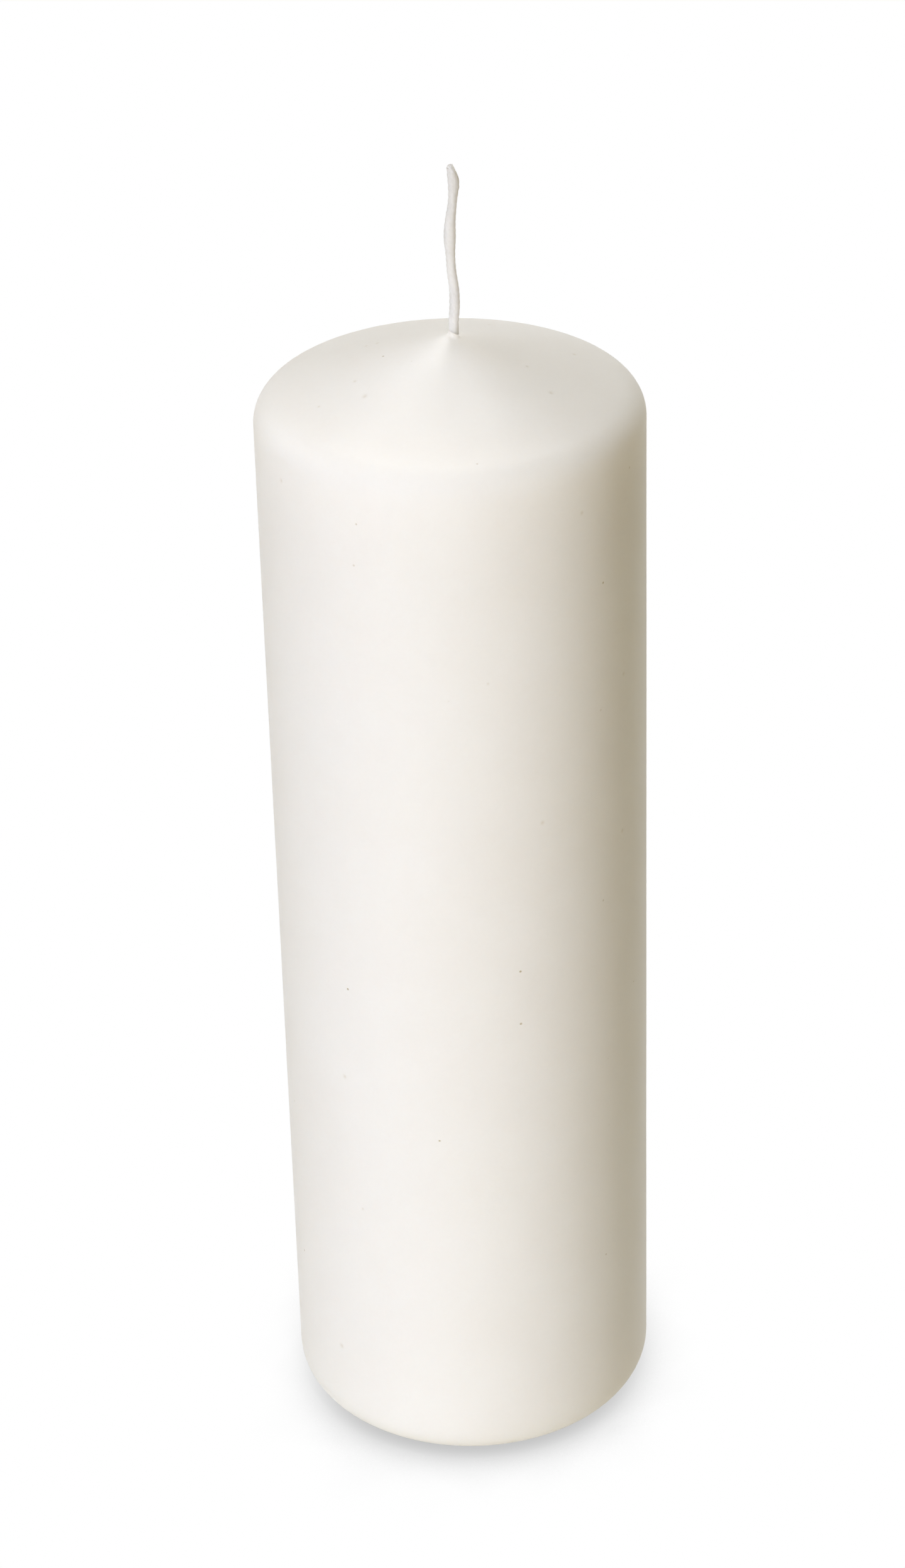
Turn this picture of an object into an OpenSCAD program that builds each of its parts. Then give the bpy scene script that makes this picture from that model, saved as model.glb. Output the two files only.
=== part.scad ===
// Pillar candle: one wax pillar with a low cone top, and a braided wick that runs right through it.
// Millimetres, Z up. The origin is the middle of the flat foot that the candle stands on.

/* [Pillar] */
// Diameter of the wax pillar
candle_d = 78; // [50:1:120]
// Height from the foot to the point of the cone
candle_h = 250; // [100:5:400]

/* [Top] */
// Height of the cone's point above the top of the straight side
cone_rise = 17.7; // [10:0.1:24]
// Radius of the rounded shoulder
shoulder_r = 6; // [2:0.5:8]

/* [Foot] */
// Radius of the rounded foot edge
foot_r = 6.5; // [2:0.5:10]

/* [Wick] */
// Diameter of the braided wick, and of the bore that it fills
wick_d = 2; // [1.5:0.1:3]
// Distance of the wick from the middle of the pillar
wick_shift = 1.2; // [0:0.1:3]
// Height of the wick's tip above the wax at its root
wick_out = 35.6; // [15:0.1:50]
// Height of the slanting cut across the tip
wick_cut = 2.6; // [0.5:0.1:4]
// Depth of the wick's lower end inside the foot
wick_sunk = 0.5; // [0.2:0.1:2]

/* [Collar] */
// Height that the wax climbs the wick
collar_h = 2.4; // [1:0.1:4]
// Width of the collar's hollow flank
collar_w = 1.1; // [0.5:0.1:2]
// Thickness of the wax at the collar's upper edge
collar_lip = 0.15; // [0.1:0.05:0.5]

/* [Hidden] */

// Facets of the round shapes, and the angle between two points of a drawn arc
$fn = 120;
arc_step = 7.5;

// The straight side and the circle of the shoulder
candle_r = candle_d / 2;
shoulder_x = candle_r - shoulder_r;
shoulder_z = candle_h - cone_rise;

// The cone's side runs from its point and just touches the shoulder's circle
cone_slope = atan2(cone_rise, shoulder_x) - asin(shoulder_r / norm([shoulder_x, cone_rise]));

// Where the wick leaves the wax, and the collar round it
wick_r = wick_d / 2;
seat_z = candle_h - wick_shift * tan(cone_slope);
collar_r = wick_r + collar_lip;
collar_top = seat_z + collar_h - collar_r * tan(cone_slope);
collar_root = 3;

// The wick is straight up to a little above the collar, and wavy from there
wick_lead = 0.3;
wavy_z = collar_top + wick_lead;
wavy_h = seat_z + wick_out - wavy_z;

// Sideways wander of the wick's middle, and its girth as a share of wick_d, at even steps up its wavy part
wander = [[0, 0], [0.3, 0.1], [0.3, 0.3], [-0.1, 0.4], [-0.25, 0.2],
          [-0.3, -0.1], [-0.1, -0.4], [0.4, -0.4], [0.7, -0.2], [0.6, 0]];
girth = [0.97, 1.05, 1, 0.95, 0.95, 1.2, 1.05, 0.9, 1.1, 1.2];

// Rings and sides of the wavy part, and the foot of it that sits inside the straight part
wick_rings = 34;
wick_sides = 12;
wavy_root = 0.5;
root_girth = 0.9;

// Overshoot of a cut past the faces that it opens
past = 1;

// Points of an arc about [x, z]
function arc(x, z, r, from, to) =
    let (steps = ceil((to - from) / arc_step))
    [for (i = [0 : steps]) let (a = from + (to - from) * i / steps) [x + r * cos(a), z + r * sin(a)]];

// Smooth curve through the values of a list, at place t counted in steps of the list
function through(v, t) =
    let (last = len(v) - 1, i = min(floor(t), last - 1), u = t - i,
         a = v[max(i - 1, 0)], b = v[i], c = v[i + 1], d = v[min(i + 2, last)])
    (2 * b + (c - a) * u + (2 * a - 5 * b + 4 * c - d) * u * u + (3 * b - a - 3 * c + d) * u * u * u) / 2;

// Half of the pillar's section: foot edge, straight side, shoulder, cone
pillar_outline = concat(
    [[0, 0]],
    arc(candle_r - foot_r, foot_r, foot_r, -90, 0),
    arc(shoulder_x, shoulder_z, shoulder_r, 0, 90 - cone_slope),
    [[0, candle_h]]
);

// Half of the collar's section: a hollow flank that leaves the wax along its slope and ends upright
collar_outline = concat(
    [[0, -collar_root], [collar_r + collar_w, -collar_root]],
    [for (a = [0 : 2 * arc_step : 90])
        let (r = collar_r + collar_w * (1 - sin(a)))
        [r, collar_h * (1 - cos(a)) - r * tan(cone_slope)]],
    [[0, collar_h - collar_r * tan(cone_slope)]]
);

// One ring of the wavy part: h is its height above wavy_z, and slant is how far its +X side drops
function wick_ring(h, slant) =
    let (t = max(h, 0) / wavy_h * (len(wander) - 1),
         at = through(wander, t),
         r = wick_r * (h < 0 ? root_girth : through(girth, t)))
    [for (k = [0 : wick_sides - 1])
        let (a = 360 * k / wick_sides)
        [at[0] + r * cos(a), at[1] + r * sin(a), h - slant * (1 + cos(a)) / 2]];

// The whole pillar of wax, with the bore that the wick fills
module wax_pillar() {
    color("ivory")
    difference() {
        union() {
            rotate_extrude() polygon(pillar_outline);
            translate([wick_shift, 0, seat_z]) rotate_extrude() polygon(collar_outline);
        }
        translate([wick_shift, 0, -past]) cylinder(r = wick_r, h = collar_top + 2 * past);
    }
}

// The wavy part of the wick above the wax, closed at both ends
module wavy_wick() {
    last = wavy_h - wick_cut;
    rings = concat(
        [for (i = [0 : wick_rings - 1]) wick_ring(-wavy_root + (last + wavy_root) * i / wick_rings, 0)],
        [wick_ring(wavy_h, wick_cut)]
    );
    n = wick_sides;
    polyhedron(
        points = [for (ring = rings, p = ring) p],
        faces = concat(
            [[for (k = [0 : n - 1]) k]],
            [for (i = [0 : wick_rings - 1], k = [0 : n - 1])
                let (a = i * n + k, b = i * n + (k + 1) % n) [a, a + n, b + n]],
            [for (i = [0 : wick_rings - 1], k = [0 : n - 1])
                let (a = i * n + k, b = i * n + (k + 1) % n) [a, b + n, b]],
            [[for (k = [n - 1 : -1 : 0]) wick_rings * n + k]]
        )
    );
}

// The whole wick: straight through the wax, then wavy to the cut tip
module wick() {
    color("whitesmoke")
    translate([wick_shift, 0, 0]) {
        translate([0, 0, wick_sunk]) cylinder(r = wick_r, h = wavy_z - wick_sunk);
        translate([0, 0, wavy_z]) wavy_wick();
    }
}

wax_pillar();
wick();
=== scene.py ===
import math
import bmesh
import bpy
import numpy as np
from mathutils import Matrix, Vector, noise


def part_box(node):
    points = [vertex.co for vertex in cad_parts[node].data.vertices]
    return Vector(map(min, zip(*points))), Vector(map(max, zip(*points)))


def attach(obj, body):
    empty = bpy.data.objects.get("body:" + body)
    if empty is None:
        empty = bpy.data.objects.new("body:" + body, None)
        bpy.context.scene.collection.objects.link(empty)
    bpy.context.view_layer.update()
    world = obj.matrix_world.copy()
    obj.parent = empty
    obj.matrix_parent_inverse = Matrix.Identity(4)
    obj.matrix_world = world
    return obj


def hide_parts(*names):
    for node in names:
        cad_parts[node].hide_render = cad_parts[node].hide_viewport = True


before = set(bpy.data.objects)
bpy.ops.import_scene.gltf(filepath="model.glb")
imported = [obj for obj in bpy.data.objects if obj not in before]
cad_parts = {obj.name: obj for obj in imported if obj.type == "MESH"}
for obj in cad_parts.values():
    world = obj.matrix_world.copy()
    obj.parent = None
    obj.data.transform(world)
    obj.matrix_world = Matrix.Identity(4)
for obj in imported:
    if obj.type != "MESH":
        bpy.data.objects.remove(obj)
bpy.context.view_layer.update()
mm = 0.001
print("Packed candle loaded")


# Small helpers

def hexColour(code):
    # sRGB hex to the linear colour that Blender works in
    values = [int(code[i:i + 2], 16) / 255 for i in (1, 3, 5)]
    return [v / 12.92 if v <= 0.04045 else ((v + 0.055) / 1.055) ** 2.4 for v in values] + [1.0]


def perMm(size):
    # scale of a pattern whose features are this many millimetres across
    return 1 / (size * mm)


def addNode(tree, kind, inputs=None, **settings):
    # one node with its settings, its values and its links
    made = tree.nodes.new(kind)
    for name, value in settings.items():
        setattr(made, name, value)
    for name, value in (inputs or {}).items():
        if isinstance(value, bpy.types.NodeSocket):
            tree.links.new(value, made.inputs[name])
        else:
            made.inputs[name].default_value = value
    return made


def emptyMaterial(name):
    material = bpy.data.materials.new(name)
    material.use_nodes = True
    material.node_tree.nodes.clear()
    return material


def aroundAndUp(azimuth, elevation, distance):
    # azimuth 0 is the viewer's side, -Y, and 90 is the viewer's right
    a, e = math.radians(azimuth), math.radians(elevation)
    return Vector((math.sin(a) * math.cos(e), -math.cos(a) * math.cos(e), math.sin(e))) * distance


def smoothStep(t):
    t = np.clip(t, 0, 1)
    return t * t * (3 - 2 * t)


def meshFromRows(name, rows, ring):
    # rows of points that run anticlockwise seen from above, from the lowest row up on an outside
    # wall; a ring of rows joins its last row to its first, and otherwise a fan closes each end
    count, sides = len(rows), len(rows[0])
    points = np.concatenate(rows)
    at = lambda i, k: (i % count) * sides + k % sides
    faces = [(at(i, k), at(i, k + 1), at(i + 1, k + 1), at(i + 1, k))
             for i in range(count if ring else count - 1) for k in range(sides)]
    if not ring:
        points = np.vstack([points, rows[0].mean(0), rows[-1].mean(0)])
        low, high = len(points) - 2, len(points) - 1
        faces += [(low, at(0, k + 1), at(0, k)) for k in range(sides)]
        faces += [(high, at(count - 1, k), at(count - 1, k + 1)) for k in range(sides)]
    mesh = bpy.data.meshes.new(name)
    mesh.from_pydata(points.tolist(), [], faces)
    mesh.polygons.foreach_set("use_smooth", [True] * len(mesh.polygons))
    mesh.update()
    made = bpy.data.objects.new(name, mesh)
    bpy.context.scene.collection.objects.link(made)
    return made


# Camera, at the photograph's place: above the candle, looking down on it

cameraView = {
    "aim": (-1.45 * mm, 0, 147.9 * mm),
    "azimuth": 0.112,
    "elevation": 30.228,
    "distance": 853.4 * mm,
    "roll": -1.568,
    "lens": 93.94,  # for Blender's 36 mm sensor along the picture's long side
    "sees": (0.01, 50),  # from this far to this far, in metres
}


def makeCamera(view):
    camera = bpy.data.objects.new("camera", bpy.data.cameras.new("camera"))
    bpy.context.scene.collection.objects.link(camera)
    camera.data.lens = view["lens"]
    camera.data.clip_start, camera.data.clip_end = view["sees"]
    back = aroundAndUp(view["azimuth"], view["elevation"], view["distance"])
    roll = Matrix.Rotation(math.radians(view["roll"]), 3, "Z")
    look = (-back).to_track_quat("-Z", "Y").to_matrix() @ roll
    camera.matrix_world = Matrix.Translation(Vector(view["aim"]) + back) @ look.to_4x4()
    bpy.context.scene.camera = camera


makeCamera(cameraView)
print("Camera set")


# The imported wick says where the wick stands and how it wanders

packed = {
    "sides": 12,  # corners of each level ring along the wavy part
    "cornerDigits": 6,  # corners and levels that agree to these decimals of a metre are the same
    "levelDigits": 5,
    "tipGap": 0.1 * mm,  # what stands higher than this above the last ring is the slanting tip
}


def readWick(packed):
    corners = np.array([v.co[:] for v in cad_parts["wick"].data.vertices])
    corners = np.unique(corners.round(packed["cornerDigits"]), axis=0)
    levels = {}
    for corner in corners:
        levels.setdefault(round(corner[2], packed["levelDigits"]), []).append(corner)
    rings = [np.array(levels[z]) for z in sorted(levels) if len(levels[z]) == packed["sides"]]
    middles = np.array([ring.mean(0) for ring in rings])
    foot = np.array(levels[min(levels)])
    tip = corners[corners[:, 2] > middles[-1, 2] + packed["tipGap"]]
    return {
        "heights": middles[:, 2],
        "middles": middles[:, :2],
        "radii": np.array([np.hypot(*(ring - ring.mean(0))[:, :2].T).mean() for ring in rings]),
        "footMiddle": foot.mean(0)[:2],
        "footRadius": np.hypot(*(foot - foot.mean(0))[:, :2].T).mean(),
        "footHeight": foot[0, 2],
        "tipHigh": tip[:, 2].max(),
        "tipLow": tip[:, 2].min(),
        "tipMiddle": (tip.max(0) + tip.min(0))[:2] / 2,
        "tipRadius": np.ptp(tip[:, 0]) / 2,
    }


packedWick = readWick(packed)
wickX, wickR = packedWick["footMiddle"][0], packedWick["footRadius"]
waxLow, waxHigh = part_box("wax_pillar")
print("Wick read from the frame")


# The wax pillar

pillar = {
    "coneRise": 17.7 * mm,
    "shoulder": 6 * mm,
    "footEdge": 6.5 * mm,
    "collarHeight": 2.4 * mm,
    "collarShare": 0.55,  # the wax ends on the wick at this share of that height, before the lean
    "collarFlank": 0.55 * mm,  # how far out the wax climbs the wick at a slope that shows
    "collarLip": 0.15 * mm,
    "collarEdge": 0.02 * mm,  # the lip thins out to this where the wax ends on the wick
    "collarLean": 0.45,  # the wax climbs higher on the wick's left by this share
    "collarFall": 0.7,  # how steeply the collar's own form drops away under the cone
    "melt": 0.3 * mm,  # how softly the collar runs into the cone
    "lipTuck": 0.9,  # the wax turns in under the wick's skin, to this share of its radius
    "lipDrop": 0.05 * mm,
    "boreMouth": 0.15 * mm,  # bevel of the bore's edge in the foot
    "boreLow": 2 * mm,  # lowest row of the bore's plain wall
    "footCentring": 1.5,  # how soon the rows turn from the wick's middle to the candle's
    "coneCentring": 2.5,
    "coneCrowding": 1.25,  # rows of the cone stand closer near the wick
    "sides": 352,
    "boreRows": 5,
    "flankRows": 9,
    "coneRows": 46,
    "shoulderRows": 14,
    "barrelRows": 138,
    "footRows": 16,
    "baseRows": 14,
    "swell": 0.05 * mm,  # depth of the long, soft unevenness of the skin
    "swellSize": 45 * mm,
    "ripple": 0.012 * mm,
    "rippleSize": 9 * mm,
    "rippleStretch": 0.35,  # the ripples are drawn out up the candle
    "calm": 3 * mm,  # the skin stays even this near to the wick
    "calmFade": 6 * mm,
    "pitDepth": 0.14,  # of a pit's width
    "pitReach": 1.4 * mm,  # the faces are finer this far round a pit
    "pitCuts": 5,
    "pitFade": 3,  # half widths from a pit's middle to where nothing is left of it
}

# small pits and nicks in the skin: azimuth in degrees, height and width in millimetres
pits = [
    (60, 242.1, 0.9), (-53, 242.9, 1.0), (110, 240.8, 0.7), (-125, 244.1, 0.8),
    (-122, 243.4, 0.6), (75, 244.5, 0.6), (-66, 240.4, 0.5), (-71, 243.3, 0.7),
    (-41, 95.0, 0.8), (25, 159.0, 0.8), (-48, 21.7, 1.0), (-58, 229.1, 0.7),
    (40, 225.0, 0.7), (9, 192.7, 0.5), (-36, 62.4, 0.5), (59, 184.0, 0.8), (58, 147.9, 0.8),
    (150, 205.0, 0.8), (175, 120.0, 0.7), (-160, 60.0, 0.9), (-140, 170.0, 0.6),
    (125, 35.0, 0.8), (160, 241.5, 0.7),
]

pillarR = (waxHigh.x - waxLow.x) / 2
shoulderX = pillarR - pillar["shoulder"]
coneSlope = math.atan2(pillar["coneRise"], shoulderX) - math.asin(
    pillar["shoulder"] / math.hypot(shoulderX, pillar["coneRise"]))
collarR = wickR + pillar["collarLip"]
edgeR, flankEnd = wickR + pillar["collarEdge"], collarR + pillar["collarFlank"]
coneTop = waxHigh.z - pillar["collarHeight"] + (collarR + wickX) * math.tan(coneSlope)
seatZ = coneTop - wickX * math.tan(coneSlope)
shoulderZ = coneTop - pillar["coneRise"]
turn = np.linspace(0, 2 * math.pi, pillar["sides"], endpoint=False)


def topHeight(x, y):
    # height of the cone, with the wax collar that climbs the wick melted into it
    d = np.hypot(x - wickX, y)
    lean = 1 - pillar["collarLean"] * (x - wickX) / np.maximum(d, 0.1 * mm)  # d is never 0
    flank = np.arcsin(np.clip((flankEnd - d) / (flankEnd - edgeR), 0, 1))
    climb = pillar["collarShare"] * pillar["collarHeight"] * lean * (1 - np.cos(flank))
    fall = pillar["collarFall"] * np.maximum(d - flankEnd, 0)
    collar = seatZ + climb - d * math.tan(coneSlope) - fall
    cone = coneTop - np.hypot(x, y) * math.tan(coneSlope)
    return (collar + cone + np.sqrt((collar - cone) ** 2 + pillar["melt"] ** 2)) / 2


def circleRow(radius, height=None, middle=0.0):
    x, y = middle + radius * np.cos(turn), radius * np.sin(turn)
    z = topHeight(x, y) if height is None else np.full_like(x, height)
    return np.stack([x, y, z], 1)


def pillarRows():
    # from the bore's mouth in the foot outwards, up the side, over the cone and down the bore
    foot, shoulder, mouth = pillar["footEdge"], pillar["shoulder"], pillar["boreMouth"]
    rows = [circleRow(wickR, mouth, wickX)]
    for t in np.linspace(0, 1, pillar["baseRows"]):
        radius = wickR + mouth + t * (pillarR - foot - wickR - mouth)
        rows.append(circleRow(radius, 0, wickX * (1 - smoothStep(t * pillar["footCentring"]))))
    for a in np.linspace(-90, 0, pillar["footRows"])[1:]:
        a = math.radians(a)
        rows.append(circleRow(pillarR - foot + foot * math.cos(a), foot + foot * math.sin(a)))
    for z in np.linspace(foot, shoulderZ, pillar["barrelRows"])[1:]:
        rows.append(circleRow(pillarR, z))
    for a in np.linspace(0, math.pi / 2 - coneSlope, pillar["shoulderRows"])[1:]:
        height = shoulderZ + shoulder * math.sin(a)
        rows.append(circleRow(shoulderX + shoulder * math.cos(a), height))
    edge = shoulderX + shoulder * math.sin(coneSlope)
    for t in np.linspace(1, 0, pillar["coneRows"])[1:]:
        radius = flankEnd + (edge - flankEnd) * t ** pillar["coneCrowding"]
        middle = wickX * (1 - smoothStep(t * pillar["coneCentring"]))
        rows.append(circleRow(radius, None, middle))
    for a in np.linspace(0, math.pi / 2, pillar["flankRows"])[1:]:
        rows.append(circleRow(edgeR + (flankEnd - edgeR) * (1 - math.sin(a)), None, wickX))
    lip = circleRow(wickR * pillar["lipTuck"], None, wickX)
    lip[:, 2] -= pillar["lipDrop"]
    rows.append(lip)
    for z in np.linspace(seatZ, pillar["boreLow"], pillar["boreRows"]):
        rows.append(circleRow(wickR, z, wickX))
    return rows


def radiusAt(height):
    # radius of the plain pillar at a height, for the pits
    if height < pillar["footEdge"]:
        drop = pillar["footEdge"] - height
        return pillarR - pillar["footEdge"] + math.sqrt(pillar["footEdge"] ** 2 - drop ** 2)
    if height < shoulderZ:
        return pillarR
    onCone = (coneTop - height) / math.tan(coneSlope)
    rise = min(height - shoulderZ, pillar["shoulder"])
    onShoulder = shoulderX + math.sqrt(pillar["shoulder"] ** 2 - rise ** 2)
    return min(onCone, onShoulder)


def unevenSkin(made):
    # soft swells and ripples of cast wax, always inwards, none on the foot's flat or in the bore
    mesh = made.data
    count = len(mesh.vertices)
    places, normals = np.zeros(count * 3), np.zeros(count * 3)
    mesh.vertices.foreach_get("co", places)
    mesh.vertices.foreach_get("normal", normals)
    places, normals = places.reshape(-1, 3), normals.reshape(-1, 3)
    fromWick = np.hypot(places[:, 0] - wickX, places[:, 1])
    free = smoothStep((fromWick - pillar["calm"]) / pillar["calmFade"])
    free = free * smoothStep(places[:, 2] / pillar["footEdge"])
    long = np.array([noise.noise(Vector(p) / pillar["swellSize"]) for p in places])
    drawnOut = [Vector((p[0], p[1], p[2] * pillar["rippleStretch"])) for p in places]
    short = np.array([noise.noise(p / pillar["rippleSize"]) for p in drawnOut])
    depth = pillar["swell"] * (0.5 + 0.5 * long) + pillar["ripple"] * (0.5 + 0.5 * short)
    mesh.vertices.foreach_set("co", (places - normals * (depth * free)[:, None]).ravel())
    mesh.update()


def pressPits(made):
    # the faces round the pits are made finer; each pit is pushed in and marked for painted shade
    edit = bmesh.new()
    edit.from_mesh(made.data)
    mark = edit.verts.layers.float.new("mark")
    spots = [aroundAndUp(azimuth, 0, radiusAt(height * mm)) + Vector((0, 0, height * mm))
             for azimuth, height, _ in pits]
    near = [f for f in edit.faces
            if min((f.calc_center_median() - spot).length for spot in spots) < pillar["pitReach"]]
    bmesh.ops.subdivide_edges(edit, edges=list({e for f in near for e in f.edges}),
                              cuts=pillar["pitCuts"], use_grid_fill=True)
    bmesh.ops.triangulate(edit, faces=[f for f in edit.faces if len(f.verts) > 4],
                          ngon_method="BEAUTY")
    edit.normal_update()
    for spot, (_, _, width) in zip(spots, pits):
        pushed = []
        for v in edit.verts:
            away = (v.co - spot).length / (width * mm / 2)
            if away < pillar["pitFade"]:
                pushed.append((v, v.normal.copy(), math.exp(-away ** 2)))
        for v, normal, share in pushed:
            v.co -= normal * width * mm * pillar["pitDepth"] * share
            v[mark] = max(v[mark], share)
    edit.to_mesh(made.data)
    edit.free()
    made.data.polygons.foreach_set("use_smooth", [True] * len(made.data.polygons))


waxPillar = meshFromRows("waxPillar", pillarRows(), ring=True)
unevenSkin(waxPillar)
pressPits(waxPillar)
print("Wax pillar made,", len(waxPillar.data.polygons), "faces")


# The wick

braid = {
    "strands": 4,  # each way round
    "pitch": 1.25 * mm,  # up the wick, from one strand to the next
    "roundness": 0.06 * mm,
    "weave": 0.025 * mm,  # over and under
    "fill": 0.02 * mm,  # how softly wax fills the grooves
    "flat": 0.05,  # the braid is this much wider than deep
    "slim": 0.06,  # the strands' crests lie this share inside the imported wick
    "hiddenHeights": (60 * mm, 120 * mm, 180 * mm, 230 * mm),  # rows inside the wax
    "footStep": 0.2 * mm,
    "buried": 3 * mm,  # the close rows start this far under the cone
    "bareFrom": 0.8,  # the strands come out of the wax at this share of the collar's height
    "bareFade": 1.2 * mm,
    "softenRows": 15,  # the wander is evened out over this many rows
    "cutStart": 0.15,  # the cut falls from this share of the radius left of the middle
    "cutCurve": 1.2,
    "cutReach": 2.5 * mm,  # the rows start to lean towards the cut this far under it
    "tipRound": 0.5 * mm,
    "rimWidth": 0.4,  # share of the radius that the rounding takes
    "rimStep": 12,  # degrees of the rounding from row to row
    "coreWidth": 0.08,  # share of the radius where the cut's last row lies
    "coreRows": 7,
    "yarnEnd": 0.45 * mm,  # size, height and sinking of the yarns' cut ends
    "yarnEndRise": 0.09 * mm,
    "yarnEndSink": 0.03 * mm,
    "sides": 96,
    "rowStep": 0.09 * mm,
}
wickTurn = np.linspace(0, 2 * math.pi, braid["sides"], endpoint=False)


def braidRelief(turns, heights):
    # how far the surface lies under the crests, where each strand goes over two and under two
    u = braid["strands"] * turns / (2 * math.pi) + heights / braid["pitch"]
    v = braid["strands"] * turns / (2 * math.pi) - heights / braid["pitch"]
    i, j = np.floor(u), np.floor(v)
    roundness, weave, fill = braid["roundness"], braid["weave"], braid["fill"]
    one = roundness * (1 - (2 * (u - i) - 1) ** 2) + weave * np.cos(math.pi / 2 * (v + i - 1))
    two = roundness * (1 - (2 * (v - j) - 1) ** 2) - weave * np.cos(math.pi / 2 * (u + j - 1))
    return roundness + weave - fill * np.log(np.exp(one / fill) + np.exp(two / fill))


def wickRows():
    w = packedWick
    startZ = seatZ - braid["buried"]
    heights = np.arange(startZ, w["tipHigh"], braid["rowStep"])
    knotZ = np.concatenate([[startZ, seatZ], w["heights"], [w["tipHigh"]]])
    soften = np.hanning(braid["softenRows"]) / np.hanning(braid["softenRows"]).sum()

    def smooth(foot, values, top):
        known = np.interp(heights, knotZ, np.concatenate([[foot, foot], values, [top]]))
        return np.convolve(np.pad(known, braid["softenRows"] // 2, mode="edge"), soften, "valid")

    middleX = smooth(wickX, w["middles"][:, 0], w["tipMiddle"][0])
    middleY = smooth(0, w["middles"][:, 1], w["tipMiddle"][1])
    radii = smooth(wickR, w["radii"], w["tipRadius"])
    across, along = np.cos(wickTurn), np.sin(wickTurn)
    rows = []
    for z in (w["footHeight"], w["footHeight"] + braid["footStep"], *braid["hiddenHeights"]):
        rows.append(np.stack([wickX + wickR * across, wickR * along, np.full_like(wickTurn, z)], 1))

    # each line up the wick ends at the cut, which is level on the left and falls away to the right
    def cutHeight(u):
        fall = np.clip((u + braid["cutStart"]) / (1 + braid["cutStart"]), 0, 1)
        return w["tipHigh"] - (w["tipHigh"] - w["tipLow"]) * fall ** braid["cutCurve"]

    cutZ = cutHeight(across) - braid["tipRound"]
    bendZ = w["tipLow"] - braid["cutReach"]
    bareZ = braid["bareFrom"] * pillar["collarHeight"]
    for z, x, y, r in zip(heights, middleX, middleY, radii):
        up = np.full_like(wickTurn, z)
        if z > bendZ:
            up = bendZ + (z - bendZ) * (cutZ - bendZ) / (w["tipHigh"] - bendZ)
        bare = smoothStep((z - seatZ - bareZ) / braid["bareFade"])
        radius = r * (1 + bare * (braid["flat"] * np.cos(2 * wickTurn) - braid["slim"]))
        radius = radius - bare * braidRelief(wickTurn, up)
        rows.append(np.stack([x + radius * across, y + radius * along, up], 1))
    # rounded rim, then the cut ends of the yarns
    rim, centre = rows[-1], rows[-1].mean(0)
    for a in np.radians(np.arange(braid["rimStep"], 90, braid["rimStep"])):
        share = 1 - braid["rimWidth"] * (1 - math.cos(a))
        row = centre + (rim - centre) * share
        row[:, 2] = cutHeight(across * share) - braid["tipRound"] * (1 - math.sin(a))
        rows.append(row)
    for share in np.linspace(1 - braid["rimWidth"], braid["coreWidth"], braid["coreRows"])[1:]:
        row = centre + (rim - centre) * share
        row[:, 2] = cutHeight(across * share)
        ends = np.array([noise.noise(Vector(p) / braid["yarnEnd"]) for p in row])
        row[:, 2] += braid["yarnEndRise"] * ends - braid["yarnEndSink"]
        rows.append(row)
    return rows


wick = meshFromRows("wickBraid", wickRows(), ring=False)
print("Wick made,", len(wick.data.polygons), "faces")


# Materials

# Paraffin wax, cast and slipped from its mould: milky and ivory in the mass, so light wanders
# through it and softens every shade, under a satin skin with a faint crystal grain
waxLook = {
    "light": "#F8F4EC",
    "warm": "#F6F1E8",
    # colour of the specks, and of the painted shade in the pits
    "mark": "#C9BB9C",
    "cloud": 22,  # sizes of the patterns in millimetres
    "crystal": 0.9,  # real crystals and grain are finer, and these are as coarse as shows
    "grain": 0.5,
    "rub": 9,
    "speck": 6,
    "crystalShare": 0.35,  # how much the crystals stir the clouds
    "cloudRange": (0.45, 0.95),
    "speckEdge": (0.055, 0.03),  # of a speck's cell, from clear wax to full colour
    "speckChance": (0.68, 0.9),
    # painted shade: how far the pits are darkened towards the mark colour
    "pitShade": 0.35,
    "rubRange": (0.3, 0.7),
    "roughness": (0.54, 0.62),
    "bump": 0.5,
    "bumpDepth": 0.012 * mm,
    "ior": 1.44,
    "polish": 0.32,  # share of the skin that the mould and handling left glossier
    "polishRoughness": 0.28,
    "scatter": 0.85,
    "scatterDepth": 22 * mm,
    "scatterTint": (1.0, 0.88, 0.76),
}


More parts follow.
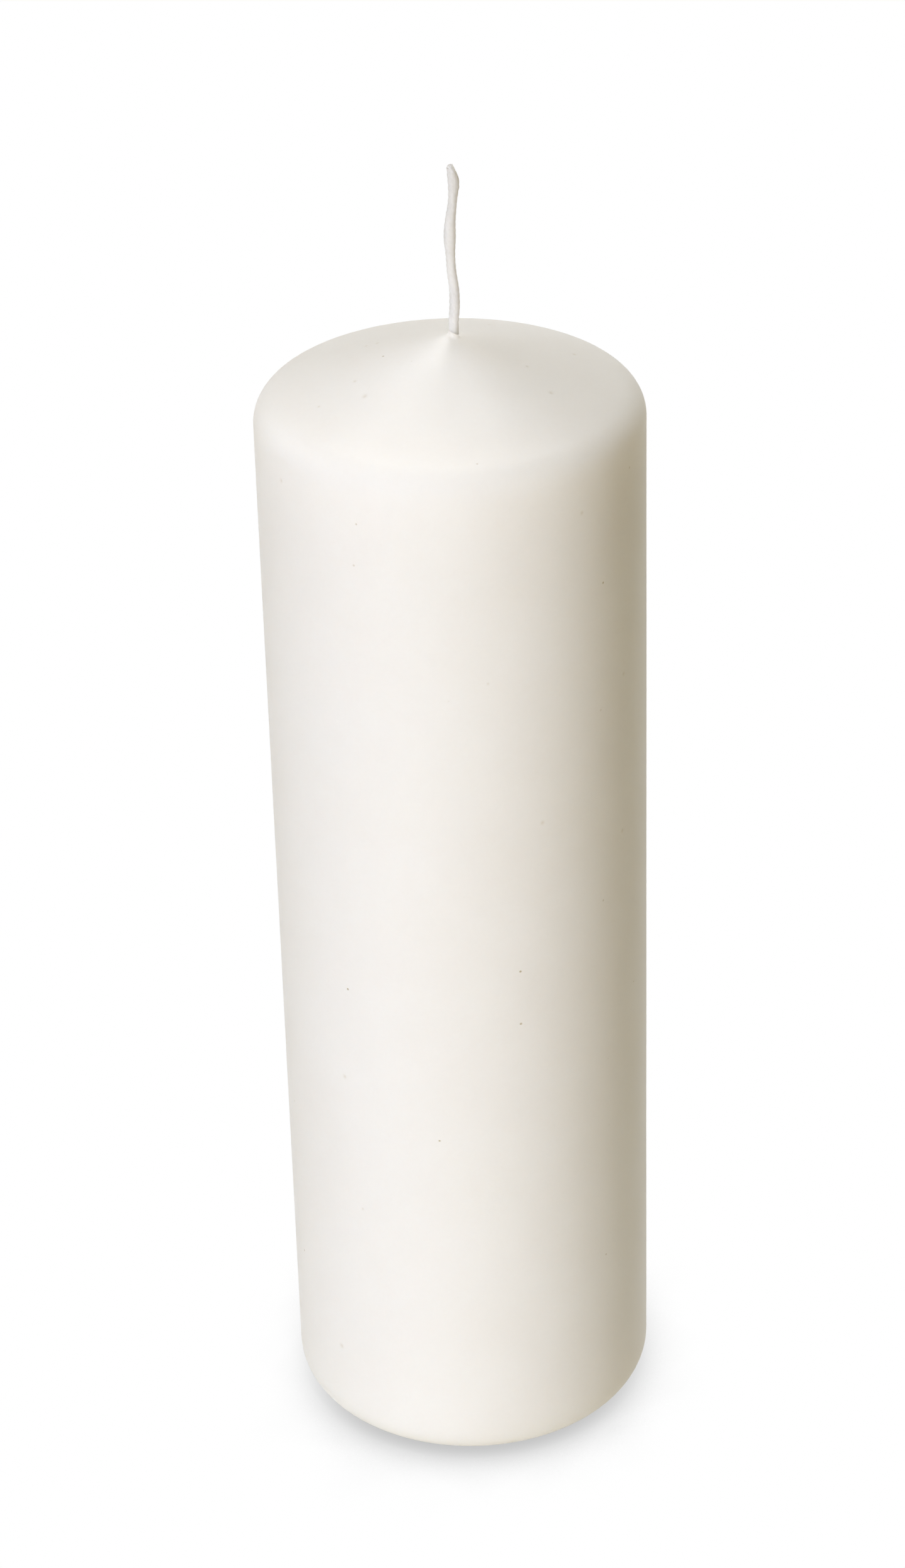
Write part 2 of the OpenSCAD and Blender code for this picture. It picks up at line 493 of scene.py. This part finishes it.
def castParaffin(look):
    material = emptyMaterial("castParaffin")
    tree = material.node_tree
    place = addNode(tree, "ShaderNodeTexCoord").outputs["Object"]
    cloud = addNode(tree, "ShaderNodeTexNoise", {
        "Vector": place, "Scale": perMm(look["cloud"]), "Detail": 3.0})
    crystal = addNode(tree, "ShaderNodeTexNoise", {
        "Vector": place, "Scale": perMm(look["crystal"]), "Detail": 2.0})
    both = addNode(tree, "ShaderNodeMath", {
        0: crystal.outputs["Fac"], 1: look["crystalShare"], 2: cloud.outputs["Fac"]},
        operation="MULTIPLY_ADD")
    share = addNode(tree, "ShaderNodeMapRange", {
        "Value": both.outputs[0],
        "From Min": look["cloudRange"][0], "From Max": look["cloudRange"][1]})
    skin = addNode(tree, "ShaderNodeMix", {
        0: share.outputs[0], 6: hexColour(look["light"]), 7: hexColour(look["warm"])},
        data_type="RGBA")
    # a few darker specks caught in the wax, in about one of every four cells
    cells = addNode(tree, "ShaderNodeTexVoronoi", {
        "Vector": place, "Scale": perMm(look["speck"])})
    chance = addNode(tree, "ShaderNodeSeparateColor", {0: cells.outputs["Color"]})
    small = addNode(tree, "ShaderNodeMapRange", {
        "Value": cells.outputs["Distance"],
        "From Min": look["speckEdge"][0], "From Max": look["speckEdge"][1]})
    some = addNode(tree, "ShaderNodeMapRange", {
        "Value": chance.outputs[0],
        "From Min": look["speckChance"][0], "From Max": look["speckChance"][1]})
    speck = addNode(tree, "ShaderNodeMath", {0: small.outputs[0], 1: some.outputs[0]},
                    operation="MULTIPLY")
    # painted shade in the pits, mixed with the specks towards the mark colour
    pitShadeMask = addNode(tree, "ShaderNodeAttribute", attribute_name="mark").outputs["Fac"]
    specksAndPitShade = addNode(tree, "ShaderNodeMath", {0: pitShadeMask, 1: look["pitShade"], 2: speck.outputs[0]},
                    operation="MULTIPLY_ADD")
    speckledAndPitShaded = addNode(tree, "ShaderNodeMix", {
        0: specksAndPitShade.outputs[0], 6: skin.outputs[2], 7: hexColour(look["mark"])},
        data_type="RGBA", clamp_factor=True)
    # handling leaves duller and shinier patches
    rub = addNode(tree, "ShaderNodeTexNoise", {
        "Vector": place, "Scale": perMm(look["rub"]), "Detail": 4.0})
    dull = addNode(tree, "ShaderNodeMapRange", {
        "Value": rub.outputs["Fac"],
        "From Min": look["rubRange"][0], "From Max": look["rubRange"][1],
        "To Min": look["roughness"][0], "To Max": look["roughness"][1]})
    grain = addNode(tree, "ShaderNodeTexNoise", {
        "Vector": place, "Scale": perMm(look["grain"]), "Detail": 2.0})
    bump = addNode(tree, "ShaderNodeBump", {
        "Height": grain.outputs["Fac"], "Strength": look["bump"], "Distance": look["bumpDepth"]})
    shader = addNode(tree, "ShaderNodeBsdfPrincipled", {
        "Base Color": speckledAndPitShaded.outputs[2], "Roughness": dull.outputs[0],
        "Normal": bump.outputs[0], "IOR": look["ior"],
        "Subsurface Weight": look["scatter"], "Subsurface Scale": look["scatterDepth"],
        "Subsurface Radius": look["scatterTint"],
        "Coat Weight": look["polish"], "Coat Roughness": look["polishRoughness"],
        "Coat IOR": look["ior"]}, subsurface_method="BURLEY")
    addNode(tree, "ShaderNodeOutputMaterial", {"Surface": shader.outputs[0]})
    return material


# Cotton yarn, braided and dipped in paraffin: matt grey-white, its grooves half filled with wax
cottonLook = {
    "yarn": "#E5E2DE",
    "groove": "#DBD8D3",
    "waxed": "#E7E4DF",
    "soaked": "#F3EFE7",
    "soakedHeight": 3 * mm,  # wax has soaked the yarn this far above the cone
    "patch": 5,  # millimetres across
    "patchRange": (0.45, 0.65),
    "fibre": (0.12, 0.9),  # thickness and length in millimetres, several real fibres in one
    "fibreRange": (0.3, 0.7),
    "bump": 0.25,
    "bumpDepth": 0.02 * mm,
    "roughness": 0.6,
    "ior": 1.46,
    "scatter": 1.0,
    "scatterDepth": 3 * mm,
    "scatterTint": (1.0, 0.95, 0.9),
}


def waxedCotton(look):
    material = emptyMaterial("waxedCotton")
    tree = material.node_tree
    place = addNode(tree, "ShaderNodeTexCoord").outputs["Object"]
    across, along = look["fibre"]
    squeezed = addNode(tree, "ShaderNodeMapping", {
        "Vector": place, "Scale": (1, 1, across / along)})
    fibre = addNode(tree, "ShaderNodeTexNoise", {
        "Vector": squeezed.outputs[0], "Scale": perMm(across), "Detail": 2.0})
    patch = addNode(tree, "ShaderNodeTexNoise", {
        "Vector": place, "Scale": perMm(look["patch"]), "Detail": 2.0})
    shade = addNode(tree, "ShaderNodeMapRange", {
        "Value": fibre.outputs["Fac"],
        "From Min": look["fibreRange"][0], "From Max": look["fibreRange"][1]})
    yarn = addNode(tree, "ShaderNodeMix", {
        0: shade.outputs[0], 6: hexColour(look["groove"]), 7: hexColour(look["yarn"])},
        data_type="RGBA")
    dipped = addNode(tree, "ShaderNodeMapRange", {
        "Value": patch.outputs["Fac"],
        "From Min": look["patchRange"][0], "From Max": look["patchRange"][1]})
    cotton = addNode(tree, "ShaderNodeMix", {
        0: dipped.outputs[0], 6: yarn.outputs[2], 7: hexColour(look["waxed"])},
        data_type="RGBA")
    height = addNode(tree, "ShaderNodeSeparateXYZ", {0: place}).outputs["Z"]
    soak = addNode(tree, "ShaderNodeMapRange", {
        "Value": height, "From Min": seatZ + look["soakedHeight"], "From Max": seatZ},
        interpolation_type="SMOOTHSTEP")
    rooted = addNode(tree, "ShaderNodeMix", {
        0: soak.outputs[0], 6: cotton.outputs[2], 7: hexColour(look["soaked"])},
        data_type="RGBA")
    bump = addNode(tree, "ShaderNodeBump", {
        "Height": fibre.outputs["Fac"], "Strength": look["bump"], "Distance": look["bumpDepth"]})
    shader = addNode(tree, "ShaderNodeBsdfPrincipled", {
        "Base Color": rooted.outputs[2], "Roughness": look["roughness"],
        "Normal": bump.outputs[0], "IOR": look["ior"],
        "Subsurface Weight": look["scatter"], "Subsurface Scale": look["scatterDepth"],
        "Subsurface Radius": look["scatterTint"]}, subsurface_method="BURLEY")
    addNode(tree, "ShaderNodeOutputMaterial", {"Surface": shader.outputs[0]})
    return material


waxPillar.data.materials.append(castParaffin(waxLook))
wick.data.materials.append(waxedCotton(cottonLook))
for piece, node, slot in ((waxPillar, "wax_pillar", "wax"), (wick, "wick", "wick")):
    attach(piece, "root")
    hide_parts(node)
print("Materials set")


# Table and studio

table = {
    "rings": (6.0, 0.3, 0.05),  # radii in metres, the first one the table's own
    # the table's soft shadow is painted: it glows white, dimmed where the candle hides the room
    # from it
    "brightness": 1.37,  # bright enough for white, which leaves only the soft shadow at the foot
    "reach": 1.0,  # what stands within this many metres keeps light from the table
    "rays": 16,
    "outerShadow": (1.5, -0.31),  # slope and level of the shadow's pale outer part
    "innerShadow": (0.47, 0.4),  # the same for its darker part close to the foot
    "shadowBlend": 0.03,  # how softly one runs into the other
    "sideLight": 0.18,  # the shadow is paler by this share on the candle's left and right
    "sideTilt": -0.05,  # and by so much less on the right and more on the left
    "sideNarrow": 3.0,  # how narrowly that keeps to the sides
    # the table glows with painted bounce light onto the candle
    "near": (0.48, "#FFF6D6"),  # strength and colour of the light that the table gives back
    "far": (0.29, "#FFEA98"),
    "nearToFar": (0.05, 0.35),  # metres from the candle's middle
}


def seenDirectly(tree):
    # 1 where the picture, a reflection or clear glass shows the surroundings, and 0 where they
    # only give light
    ray = addNode(tree, "ShaderNodeLightPath").outputs
    either = addNode(tree, "ShaderNodeMath", {0: ray["Is Camera Ray"], 1: ray["Is Glossy Ray"]},
                     operation="MAXIMUM")
    return addNode(tree, "ShaderNodeMath", {0: either.outputs[0], 1: ray["Is Transmission Ray"]},
                   operation="MAXIMUM").outputs[0]


def whiteTable(settings):
    material = emptyMaterial("whiteTable")
    tree = material.node_tree
    # painted shadow: the room's even light, less what the candle keeps from each spot of the table
    reached = addNode(tree, "ShaderNodeAmbientOcclusion", {"Distance": settings["reach"]},
                      samples=settings["rays"]).outputs["AO"]
    slope, level = settings["outerShadow"]
    outer = addNode(tree, "ShaderNodeMath", {0: reached, 1: slope, 2: level},
                    operation="MULTIPLY_ADD")
    squared = addNode(tree, "ShaderNodeMath", {0: reached, 1: reached}, operation="MULTIPLY")
    slope, level = settings["innerShadow"]
    inner = addNode(tree, "ShaderNodeMath", {0: squared.outputs[0], 1: slope, 2: level},
                    operation="MULTIPLY_ADD")
    kept = addNode(tree, "ShaderNodeMath", {
        0: outer.outputs[0], 1: inner.outputs[0], 2: settings["shadowBlend"]},
        operation="SMOOTH_MAX")
    # the painted shadow is made fainter on the left and the right, as if more light came from there
    place = addNode(tree, "ShaderNodeTexCoord").outputs["Object"]
    outward = addNode(tree, "ShaderNodeVectorMath", {0: place}, operation="NORMALIZE")
    sideways = addNode(tree, "ShaderNodeSeparateXYZ", {0: outward.outputs[0]}).outputs["X"]
    square = addNode(tree, "ShaderNodeMath", {0: sideways, 1: sideways}, operation="MULTIPLY")
    atSides = addNode(tree, "ShaderNodeMath", {0: square.outputs[0], 1: settings["sideNarrow"]},
                      operation="POWER")
    share = addNode(tree, "ShaderNodeMath", {
        0: sideways, 1: settings["sideTilt"], 2: settings["sideLight"]},
        operation="MULTIPLY_ADD")
    filled = addNode(tree, "ShaderNodeMath", {0: atSides.outputs[0], 1: share.outputs[0]},
                     operation="MULTIPLY")
    dark = addNode(tree, "ShaderNodeMath", {0: 1.0, 1: kept.outputs[0]}, operation="SUBTRACT")
    eased = addNode(tree, "ShaderNodeMath", {
        0: filled.outputs[0], 1: dark.outputs[0], 2: kept.outputs[0]},
        operation="MULTIPLY_ADD")
    bright = addNode(tree, "ShaderNodeMath", {0: eased.outputs[0], 1: settings["brightness"]},
                     operation="MULTIPLY")
    capped = addNode(tree, "ShaderNodeMath", {0: bright.outputs[0], 1: 1.0}, operation="MINIMUM")
    whiteWithPaintedShadow = addNode(tree, "ShaderNodeEmission", {
        "Color": hexColour("#FFFFFF"), "Strength": capped.outputs[0]})
    # painted bounce light: the table glows onto the candle, more strongly near its foot
    away = addNode(tree, "ShaderNodeVectorMath", {0: place}, operation="LENGTH")
    farOff = addNode(tree, "ShaderNodeMapRange", {
        "Value": away.outputs["Value"],
        "From Min": settings["nearToFar"][0], "From Max": settings["nearToFar"][1]},
        interpolation_type="SMOOTHSTEP")
    near, far = (addNode(tree, "ShaderNodeEmission", {
        "Color": hexColour(settings[k][1]), "Strength": settings[k][0]}) for k in ("near", "far"))
    paintedBounce = addNode(tree, "ShaderNodeMixShader", {
        0: farOff.outputs[0], 1: near.outputs[0], 2: far.outputs[0]})
    pick = addNode(tree, "ShaderNodeMixShader", {
        0: seenDirectly(tree), 1: paintedBounce.outputs[0], 2: whiteWithPaintedShadow.outputs[0]})
    addNode(tree, "ShaderNodeOutputMaterial", {"Surface": pick.outputs[0]})
    return material


def makeTable(settings):
    around = turn[::4]
    rows = [np.stack([r * np.cos(around), r * np.sin(around), np.zeros(len(around))], 1)
            for r in settings["rings"]]
    count, sides = len(rows), len(around)
    faces = [(i * sides + k, i * sides + (k + 1) % sides,
              (i + 1) * sides + (k + 1) % sides, (i + 1) * sides + k)
             for i in range(count - 1) for k in range(sides)]
    faces.append([(count - 1) * sides + k for k in range(sides)])
    mesh = bpy.data.meshes.new("table")
    mesh.from_pydata(np.concatenate(rows).tolist(), [], faces)
    made = bpy.data.objects.new("table", mesh)
    bpy.context.scene.collection.objects.link(made)
    made.data.materials.append(whiteTable(settings))
    return made


tableTop = makeTable(table)
print("Table laid")

# soft lamps, by azimuth, elevation, distance, width, height, power in watts and colour
lamps = {
    "window": (-30, 10, 1.4, 0.5, 0.5, 17.5, "#EBF0FF"),
    "sideCard": (41, 17, 1.4, 0.7, 0.7, 3.3, "#FFF5E4"),
    "backLeft": (-125, 35, 1.4, 0.6, 0.6, 1.8, "#FFF6F0"),
    "backFill": (142, 5, 1.4, 0.8, 0.8, 2.4, "#F8FAFF"),
    "overhead": (0, 89, 1.4, 0.8, 0.8, 4.1, "#FDFDF9"),
    "ceiling": (-175, 60, 1.4, 0.7, 0.7, 7.2, "#FDFDFD"),
}
# these two are low, and their glancing reflection would burn out the rim in views from behind
unreflected = ("window", "backFill")
lampAim = Vector((0, 0, 130 * mm))
ambient = {"strength": 0.01, "colour": "#FFFFFF"}

# the lamps leave the table to the even light of the room
offTable = bpy.data.collections.new("offTable")
offTable.objects.link(tableTop)
offTable.collection_objects[0].light_linking.link_state = "EXCLUDE"
for name, (azimuth, elevation, distance, width, height, power, colour) in lamps.items():
    light = bpy.data.lights.new(name, "AREA")
    light.shape, light.size, light.size_y = "RECTANGLE", width, height
    light.energy, light.color = power, hexColour(colour)[:3]
    lamp = bpy.data.objects.new(name, light)
    bpy.context.scene.collection.objects.link(lamp)
    toLamp = aroundAndUp(azimuth, elevation, distance)
    lamp.location = lampAim + toLamp
    lamp.rotation_mode = "QUATERNION"
    lamp.rotation_quaternion = (-toLamp).to_track_quat("-Z", "Y")
    lamp.visible_camera = False
    lamp.visible_glossy = name not in unreflected
    lamp.light_linking.receiver_collection = offTable

# a white room in the picture, which gives the candle hardly any light of its own
world = bpy.data.worlds.new("room")
bpy.context.scene.world = world
world.use_nodes = True
tree = world.node_tree
tree.nodes.clear()
room = addNode(tree, "ShaderNodeBackground", {
    "Color": hexColour(ambient["colour"]), "Strength": ambient["strength"]})
white = addNode(tree, "ShaderNodeBackground", {"Color": hexColour("#FFFFFF"), "Strength": 1.0})
mixed = addNode(tree, "ShaderNodeMixShader", {
    0: seenDirectly(tree), 1: room.outputs[0], 2: white.outputs[0]})
addNode(tree, "ShaderNodeOutputWorld", {"Surface": mixed.outputs[0]})

bpy.context.scene.view_settings.view_transform = "Standard"
print("Studio lit")
